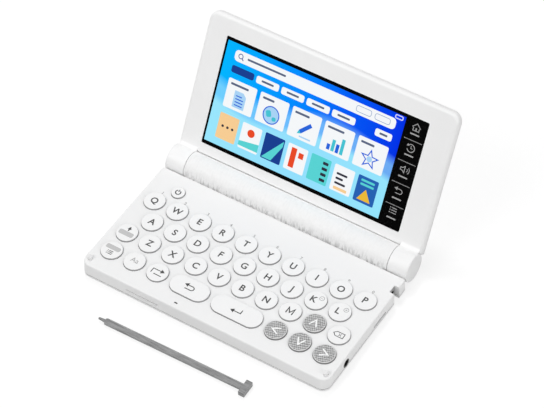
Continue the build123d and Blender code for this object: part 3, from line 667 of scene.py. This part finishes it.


# ---- Painted shade in the hollows of the base ----
def seam_shadow_strip():
    """A dark strip in the groove between the cases, painted shadow where the groove is in shade, clear of
    the jack and the stylus's notch.
    """
    low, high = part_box("base_bottom_case")
    jack_front, jack_rear = (corner.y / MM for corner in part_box("audio_jack"))
    near, far = SEAM_SHADOW_STRIP
    inset = (near + far) / 2
    side = high.x / MM - inset
    rear = high.y / MM - SEAM_REAR
    corner_x, corner_y = high.x / MM - FRONT_CORNER, low.y / MM + FRONT_CORNER
    radius = FRONT_CORNER - inset
    front = [(side, jack_front - JACK_CLEARANCE)] + arc(corner_x, corner_y, radius, 0, -90)
    front += arc(-corner_x, corner_y, radius, -90, -180) + [(-side, rear)]
    before_notch = [(side, jack_rear + JACK_CLEARANCE), (side, NOTCH[0])]
    behind_notch = [(side, NOTCH[1]), (side, rear)]
    shade_piece = Shapes()
    for path in (front, before_notch, behind_notch):
        shade_piece.line(path, far - near, SEAM)
    shade_piece.piece("seam_shadow_strip", SLOT_LOOKS["dark_part"], "base", "dark_part")


def microphone_slot_shade():
    """A dark sheet a little below the deck, in the microphone's slot: painted shade for the slot's hollow.
    """
    x, y, length, width = MICROPHONE
    gap = 0.02
    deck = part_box("base_top_case")[1].z / MM
    slot = (x - length / 2, x + length / 2, y - width / 2, y + width / 2)
    outline = rounded(*inward(slot, gap), width / 2 - gap - 0.01)
    slot_shade = Shapes().plate(outline, (deck - 0.16, deck - 0.06))
    slot_shade.piece("microphone_slot_shade", SLOT_LOOKS["dark_part"], "base", "dark_part")


def bore_shade():
    """A thin dark sleeve inside the mouth of the stylus's bore, and a grey plate round the mouth: both
    painted shade in the notch.
    """
    bore = next(mount for mount in frame["record"]["mounts"] if mount["name"] == "stylus_silo")
    x, y, z = bore["pos_m"]
    radius = bore["dims"]["r_mm"]
    mouth = x / MM + bore["dims"]["length_mm"] / 2
    # Heights in these shapes go along the bore, x goes back and y goes up.
    axes = Matrix(((0, 0, 1), (1, 0, 0), (0, 1, 0))).to_4x4()
    place = Matrix.Translation((0, y, z)) @ axes
    shade_piece = Shapes().ring(0, 0, radius - 0.06, 0.08, (mouth - 9.5, mouth - 0.2))
    shade_piece.piece("bore_shade", SLOT_LOOKS["dark_part"], "base", "dark_part", place)
    outline = rounded(-2.45, 2.45, -2.3, 4.0, 0.2)
    plate = Shapes().band(circle(0, 0, radius, len(outline)), outline, (mouth + 0.01, mouth + 0.07))
    plate.piece("bore_shade_plate", moulded("bore_shade_plate", grey(0.34), 0.5), "base", "dark_part", place)


seam_shadow_strip()
microphone_slot_shade()
bore_shade()


# ---- Display ----
def lid_place():
    """The lid's own coordinates: x along the hinge, y up the lid and z out of its face."""
    joint = next(j for j in frame["joints"] if j["name"] == "lid_hinge")
    up = Vector((0, -cos(LID_OPEN), sin(LID_OPEN)))
    out = Vector((0, -sin(LID_OPEN), -cos(LID_OPEN)))
    axes = Matrix((Vector((1, 0, 0)), up, out)).transposed()
    return Matrix.Translation(joint["pos_m"]) @ axes.to_4x4()


LID = lid_place()


def on_lid(shapes, name, material, slot="display"):
    return shapes.piece(name, material, "lid", slot, LID)


def cover_glass():
    """The cover glass, with rounded corners and a ground edge, inside its painted edge."""
    x0, x1, y0, y1 = inward(GLASS, PAINTED_EDGE)
    edge = 0.12
    shape = bmesh.new()
    rings = []
    profile = ((edge, GLASS_BACK), (0, GLASS_BACK + edge), (0, GLASS_FRONT - edge), (edge, GLASS_FRONT))
    for inset, height in profile:
        outline = rounded(x0 + inset, x1 - inset, y0 + inset, y1 - inset, 0.8 - inset / 2)
        rings.append([shape.verts.new((x * MM, y * MM, height * MM)) for x, y in outline])
    for low, high in zip(rings, rings[1:]):
        for i in range(len(low)):
            j = (i + 1) % len(low)
            shape.faces.new((low[i], low[j], high[j], high[i]))
    shape.faces.new(rings[-1])
    shape.faces.new(rings[0][::-1])
    data = bpy.data.meshes.new("cover_glass")
    shape.to_mesh(data)
    shape.free()
    glass = add_piece("cover_glass", data, SLOT_LOOKS["screen_glass"], "lid", LID)
    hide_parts("screen_glass")


def black_mask():
    """Black printing behind the glass and on its edge, round the picture and under the touch keys."""
    mask = Shapes()
    corner = 0.8
    outer = rounded(*inward(GLASS, 0.01), corner)
    mask.band(rounded(*PICTURE, 0.05), outer, MASK_LAYER)
    mask.band(rounded(*inward(GLASS, PAINTED_EDGE), corner - PAINTED_EDGE), outer,
              (MASK_LAYER[1] + 0.001, GLASS_FRONT - 0.04))
    on_lid(mask, "screen_mask", printed("mask_ink", grey(0.0015), 0.3, 0.02))


def strip_signs():
    """Signs of the touch keys, with a line below each and lines between them."""
    x = STRIP_MIDDLE
    layer = MASK_INK_LAYER
    signs = Shapes()
    house = [(x - 2.4, 69.3), (x, 71.6), (x + 2.4, 69.3)]
    signs.line(house, 0.4, layer)
    signs.line([(x - 1.7, 69.3), (x - 1.7, 67.6), (x + 1.7, 67.6), (x + 1.7, 69.3)], 0.4, layer)
    signs.line([(x, 67.9), (x, 69.2)], 0.7, layer)
    signs.line(arc(x, 58.0, 2.1, 150, -160, 26), 0.4, layer)
    signs.plate(arrow_head(x - 1.95, 59.2, 1.3, 225), layer)
    signs.line([(x, 59.3), (x, 57.9), (x + 1.0, 57.9)], 0.35, layer)
    speaker = [(-2.4, 0.7), (-1.3, 0.7), (-0.1, 1.8), (-0.1, -1.8), (-1.3, -0.7), (-2.4, -0.7)]
    signs.line(moved(speaker, x, 46.0), 0.38, layer, closed=True)
    for radius in (1.1, 2.2):
        signs.line(arc(x + 0.4, 46.0, radius, -48, 48, 10), 0.35, layer)
    signs.line([(x - 1.2, 35.0)] + arc(x + 0.8, 33.75, 1.25, 90, -90, 12) + [(x - 1.6, 32.5)], 0.4, layer)
    signs.plate(arrow_head(x - 1.6, 35.0, 1.7, 180), layer)
    for row in range(3):
        level = 24.2 - 1.35 * row
        signs.line([(x - 1.0, level), (x + 2.0, level)], 0.4, layer)
        signs.plate(circle(x - 1.8, level, 0.3, 12), layer)
    for level in (65.6, 54.0, 41.9, 29.6, 18.6):
        signs.line([(x - 2.6, level), (x + 2.6, level)], 0.75, layer)
    on_lid(signs, "touch_key_signs", printed("strip_ink", grey(0.46), 0.5, 0.0))
    rules = Shapes()
    for level in (62.2, 50.1, 38.0, 25.8):
        rules.line([(x - 5.2, level), (x + 5.2, level)], 0.35, layer)
    on_lid(rules, "touch_key_rules", printed("rule_ink", grey(0.34), 0.5, 0.0))


def across(count, gap, low=-55.2, high=41.6):
    """Left and right edges of a row of equal boxes."""
    size = (high - low - gap * (count - 1)) / count
    return [(low + n * (size + gap), low + n * (size + gap) + size) for n in range(count)]


def picture():
    """A plain menu: a search field, tabs, a row of cards and a row of tiles, without words."""
    ground, boxes, marks, details = PICTURE_LAYERS
    x0, x1, y0, y1 = inward(PICTURE, -0.2)
    sheet = [(x0, y0), (x1, y0), (x1, y1), (x0, y1)]
    on_lid(Shapes().plate(sheet, ground), "picture_ground", picture_ground("picture_ground"))

    tabs = across(5, 1.6, -55.2, 20.0)
    cards = across(5, 2.3)
    tiles = across(7, 2.2)
    white = Shapes().plate(rounded(-55.2, 41.6, *SEARCH_ROW, 2.2), boxes)
    for left, right in tabs[1:]:
        white.plate(rounded(left, right, *TAB_ROW, 1.1), boxes)
    for left, right in cards:
        white.plate(rounded(left, right, *CARD_ROW, 0.9), boxes)
    for left, right in (tiles[1], tiles[3], tiles[5]):
        white.plate(rounded(left, right, *TILE_ROW, 0.7), boxes)
    white.plate(rounded(31.8, 41.6, *TAB_ROW, 1.1), boxes)
    on_lid(white, "picture_white", lit("picture_white", (0.93, 0.95, 0.97)))

    navy = Shapes().plate(rounded(*tabs[0], *TAB_ROW, 1.1), boxes)
    navy.plate(rounded(*tiles[2], *TILE_ROW, 0.7), boxes)
    navy.ring(-51.6, 66.5, 1.25, 0.45, marks)
    navy.line([(-50.7, 65.6), (-49.7, 64.6)], 0.5, marks)
    on_lid(navy, "picture_navy", lit("picture_navy", (0.01, 0.05, 0.28)))

    rules = Shapes()
    rules.plate(rounded(-47.4, -24.0, 65.9, 67.0, 0.4), marks)
    for left, right in tabs[1:]:
        rules.plate(rounded(left + 3.2, right - 3.2, 58.1, 59.2, 0.4), marks)
    rules.plate(rounded(34.4, 39.0, 58.1, 59.2, 0.4), marks)
    for (left, right), share in zip(cards, (0.78, 0.5, 0.62, 0.7, 0.56)):
        rules.plate(rounded(left + 1.8, left + 1.8 + (right - left - 3.6) * share, 50.2, 51.4, 0.4), marks)
    on_lid(rules, "picture_rules", lit("picture_rules", (0.10, 0.13, 0.22)))

    outlines = Shapes()
    for left, right in ((18.6, 27.4), (29.6, 38.4)):
        outlines.line(rounded(left, right, 64.7, 67.9, 1.1, 4), 0.35, marks, closed=True)
    on_lid(outlines, "picture_outlines", lit("picture_outlines", (0.32, 0.42, 0.62)))
    battery = Shapes().line(rounded(40.4, 44.6, 69.9, 71.7, 0.5, 3), 0.5, marks, closed=True)
    on_lid(battery, "picture_battery", lit("picture_battery", (0.72, 0.74, 0.98)))

    card_signs(cards, marks, details)
    tile_signs(tiles, boxes, marks)


def card_signs(cards, marks, details):
    """One plain sign on each card: a ruled page, a globe, a pencil, a bar chart and a star."""
    middle = [(left + right) / 2 for left, right in cards]
    level = 43.2
    blue, teal, pale = Shapes(), Shapes(), Shapes()

    x = middle[0]
    page = [(-3.6, -4.4), (3.6, -4.4), (3.6, 2.8), (1.6, 4.8), (-3.6, 4.8)]
    pale.plate(moved(page, x, level), marks)
    for row in range(4):
        height = level + 2.2 - 1.7 * row
        blue.line([(x - 2.4, height), (x + (1.2 if row == 0 else 2.4), height)], 0.6, details)

    x = middle[1]
    pale.plate(circle(x, level, 4.7), marks)
    blue.ring(x, level, 4.7, 0.6, details)
    teal.plate(moved(rounded(-2.6, 0.4, -1.0, 2.6, 0.9), x - 0.3, level, 20), details)
    teal.plate(moved(rounded(0.6, 3.0, -2.6, -0.4, 0.8), x, level - 0.4, 10), details)

    x = middle[2]
    blue.plate(moved([(-4.6, -1.1), (3.2, -1.1), (3.2, 1.1), (-4.6, 1.1)], x + 0.6, level + 0.6, 225), marks)
    teal.plate(moved([(3.2, -1.1), (5.4, 0), (3.2, 1.1)], x + 0.6, level + 0.6, 225), marks)
    pale.line([(x - 1.6, level - 4.2), (x + 5.2, level - 4.2)], 0.8, marks)

    x = middle[3]
    for step, height in enumerate((3.2, 6.4, 4.8, 8.6)):
        bar = teal if step % 2 else blue
        left = x - 5.0 + 2.6 * step
        bar.plate([(left, level - 4.4), (left + 1.9, level - 4.4), (left + 1.9, level - 4.4 + height),
                   (left, level - 4.4 + height)], marks)

    x = middle[4]
    star = []
    for point in range(10):
        turn = radians(90 + 36 * point)
        reach = 4.9 if point % 2 == 0 else 2.1
        star.append((x + reach * cos(turn), level + reach * sin(turn)))
    blue.line(star, 0.6, marks, closed=True)
    pale.plate(circle(x, level, 1.6), marks)

    on_lid(pale, "card_pale", lit("picture_pale", (0.40, 0.66, 0.93)))
    on_lid(blue, "card_blue", lit("picture_blue", (0.02, 0.13, 0.72)))
    on_lid(teal, "card_teal", lit("picture_teal", (0.06, 0.55, 0.66)))


def tile_signs(tiles, boxes, marks):
    """Coloured tiles with simple stripes, discs and blocks."""
    peach, teal, red, blue, dark, yellow = (Shapes() for _ in range(6))
    for index, shapes in ((0, peach), (4, teal), (6, blue)):
        shapes.plate(rounded(*tiles[index], *TILE_ROW, 0.7), boxes)
    left, right = tiles[0]
    for row in range(3):
        dark.plate(circle(left + 3.0 + 3.0 * row, 26.6, 0.75, 14), marks)
    left, right = tiles[1]
    teal.plate([(left, 20.4), (right, 20.4), (right, 24.8), (left, 23.0)], marks)
    red.plate(circle(left + 6.0, 29.0, 2.2, 24), marks)
    left, right = tiles[2]
    teal.plate([(left + 0.6, 19.8), (left + 6.4, 19.8), (right - 0.6, 29.5), (right - 0.6, 32.6)], marks)
    left, right = tiles[3]
    red.plate([(left + 2.4, 21.0), (left + 5.6, 21.0), (left + 5.6, 32.0), (left + 2.4, 32.0)], marks)
    red.plate([(left + 7.0, 27.4), (right - 2.0, 27.4), (right - 2.0, 30.6), (left + 7.0, 30.6)], marks)
    left, right = tiles[4]
    for row in range(4):
        dark.plate(rounded(right - 4.6, right - 1.4, 20.8 + 3.1 * row, 22.4 + 3.1 * row, 0.3, 2), marks)
    left, right = tiles[5]
    for row, share in enumerate((0.8, 0.55, 0.8)):
        level = 28.4 - 2.6 * row
        dark.plate(rounded(left + 2.0, left + 2.0 + 8.0 * share, level, level + 1.2, 0.4, 2), marks)
    peach.plate(rounded(left + 2.0, right - 2.0, 20.2, 21.8, 0.4, 2), marks)
    left, right = tiles[6]
    yellow.plate([(left + 2.0, 20.6), (right - 2.0, 20.6), ((left + right) / 2, 27.0)], marks)
    for row in range(2):
        teal.plate(rounded(left + 2.0, right - 2.0, 28.6 + 2.2 * row, 29.8 + 2.2 * row, 0.4, 2), marks)

    on_lid(peach, "tile_peach", lit("picture_peach", (0.95, 0.62, 0.30)))
    on_lid(teal, "tile_teal", lit("picture_turquoise", (0.10, 0.66, 0.66)))
    on_lid(red, "tile_red", lit("picture_red", (0.82, 0.07, 0.02)))
    on_lid(blue, "tile_blue", lit("picture_cobalt", (0.02, 0.12, 0.45)))
    on_lid(dark, "tile_dark", lit("picture_dark", (0.03, 0.03, 0.05)))
    on_lid(yellow, "tile_yellow", lit("picture_yellow", (0.85, 0.50, 0.04)))


cover_glass()
black_mask()
strip_signs()
picture()


# ---- Floor, light and camera ----
def floor():
    """A plain pale floor that looks white to the camera and keeps the object's shadow."""
    shape = bmesh.new()
    bmesh.ops.create_grid(shape, x_segments=8, y_segments=8, size=2.0)
    data = bpy.data.meshes.new("floor")
    shape.to_mesh(data)
    shape.free()
    plane = bpy.data.objects.new("floor", data)
    bpy.context.scene.collection.objects.link(plane)
    look = Look("floor")
    path = look.add("LightPath").outputs
    seen = look.math("MAXIMUM", path["Is Camera Ray"],
                     look.math("MAXIMUM", path["Is Glossy Ray"], path["Is Transmission Ray"]))
    speck = look.noise(400, 3)
    bounce = look.add("BsdfDiffuse", {"Color": look.ramp(speck, [(0.3, grey(0.54)), (0.7, grey(0.56))])})
    shown = look.add("BsdfDiffuse", {"Color": look.ramp(speck, [(0.3, grey(0.26)), (0.7, grey(0.27))])})
    glow = look.add("Emission", {"Color": (1, 1, 1, 1), "Strength": 0.77})
    white = look.add("AddShader", {0: shown.outputs[0], 1: glow.outputs[0]})
    mixed = look.add("MixShader", {0: seen, 1: bounce.outputs[0], 2: white.outputs[0]})
    look.links.new(mixed.outputs[0], look.nodes["Material Output"].inputs["Surface"])
    data.materials.append(look.material)


def world():
    """Even soft light from all round; white where the camera or a reflection sees it."""
    surroundings = bpy.data.worlds.new("studio")
    surroundings.use_nodes = True
    nodes, links = surroundings.node_tree.nodes, surroundings.node_tree.links
    path = nodes.new("ShaderNodeLightPath")
    seen = path.outputs["Is Camera Ray"]
    for ray in ("Is Glossy Ray", "Is Transmission Ray"):
        either = nodes.new("ShaderNodeMath")
        either.operation = "MAXIMUM"
        links.new(seen, either.inputs[0])
        links.new(path.outputs[ray], either.inputs[1])
        seen = either.outputs[0]
    level = nodes.new("ShaderNodeMapRange")
    level.inputs["To Min"].default_value = 0.39
    level.inputs["To Max"].default_value = 1.0
    links.new(seen, level.inputs["Value"])
    links.new(level.outputs[0], nodes["Background"].inputs["Strength"])
    nodes["Background"].inputs["Color"].default_value = (1, 1, 1, 1)
    bpy.context.scene.world = surroundings


def lamp(name, place, aim, size, power, mirrored=True):
    """A square soft light, which glossy surfaces mirror or not."""
    light = bpy.data.lights.new(name, "AREA")
    light.size = size
    light.energy = power
    holder = bpy.data.objects.new(name, light)
    bpy.context.scene.collection.objects.link(holder)
    holder.location = place
    holder.visible_glossy = mirrored
    holder.rotation_euler = (Vector(aim) - Vector(place)).to_track_quat("-Z", "Y").to_euler()


def camera():
    """The photograph's view."""
    azimuth, elevation, roll = radians(35.784), radians(49.516), radians(-3.807)
    target = Vector((16.987, -10.823, 65.119)) * MM
    distance = 1174.947 * MM
    focal_pixels, image_width = 2401.075, 544
    back = Vector((sin(azimuth) * cos(elevation), -cos(azimuth) * cos(elevation), sin(elevation)))
    level = Vector((cos(azimuth), sin(azimuth), 0))
    up = back.cross(level)
    right = level * cos(roll) + up * sin(roll)
    top = up * cos(roll) - level * sin(roll)
    data = bpy.data.cameras.new("camera")
    data.sensor_width = 36.0
    data.lens = focal_pixels * data.sensor_width / image_width
    data.clip_start = 0.05
    data.clip_end = 20.0
    holder = bpy.data.objects.new("camera", data)
    bpy.context.scene.collection.objects.link(holder)
    axes = Matrix((right, top, back)).transposed().to_4x4()
    holder.matrix_world = Matrix.Translation(target + back * distance) @ axes
    bpy.context.scene.camera = holder


floor()
world()
lamp("key_light", (-0.36, 0.50, 1.25), (0, 0, 0.02), 0.25, 5.9, mirrored=False)
lamp("front_light", (-0.50, -0.86, 1.07), (0, 0, 0.04), 0.9, 8.3)
lamp("side_light", (1.2, -0.25, 0.42), (0, 0, 0.03), 0.8, 5.4)
camera()
bpy.context.scene.view_settings.view_transform = "Standard"
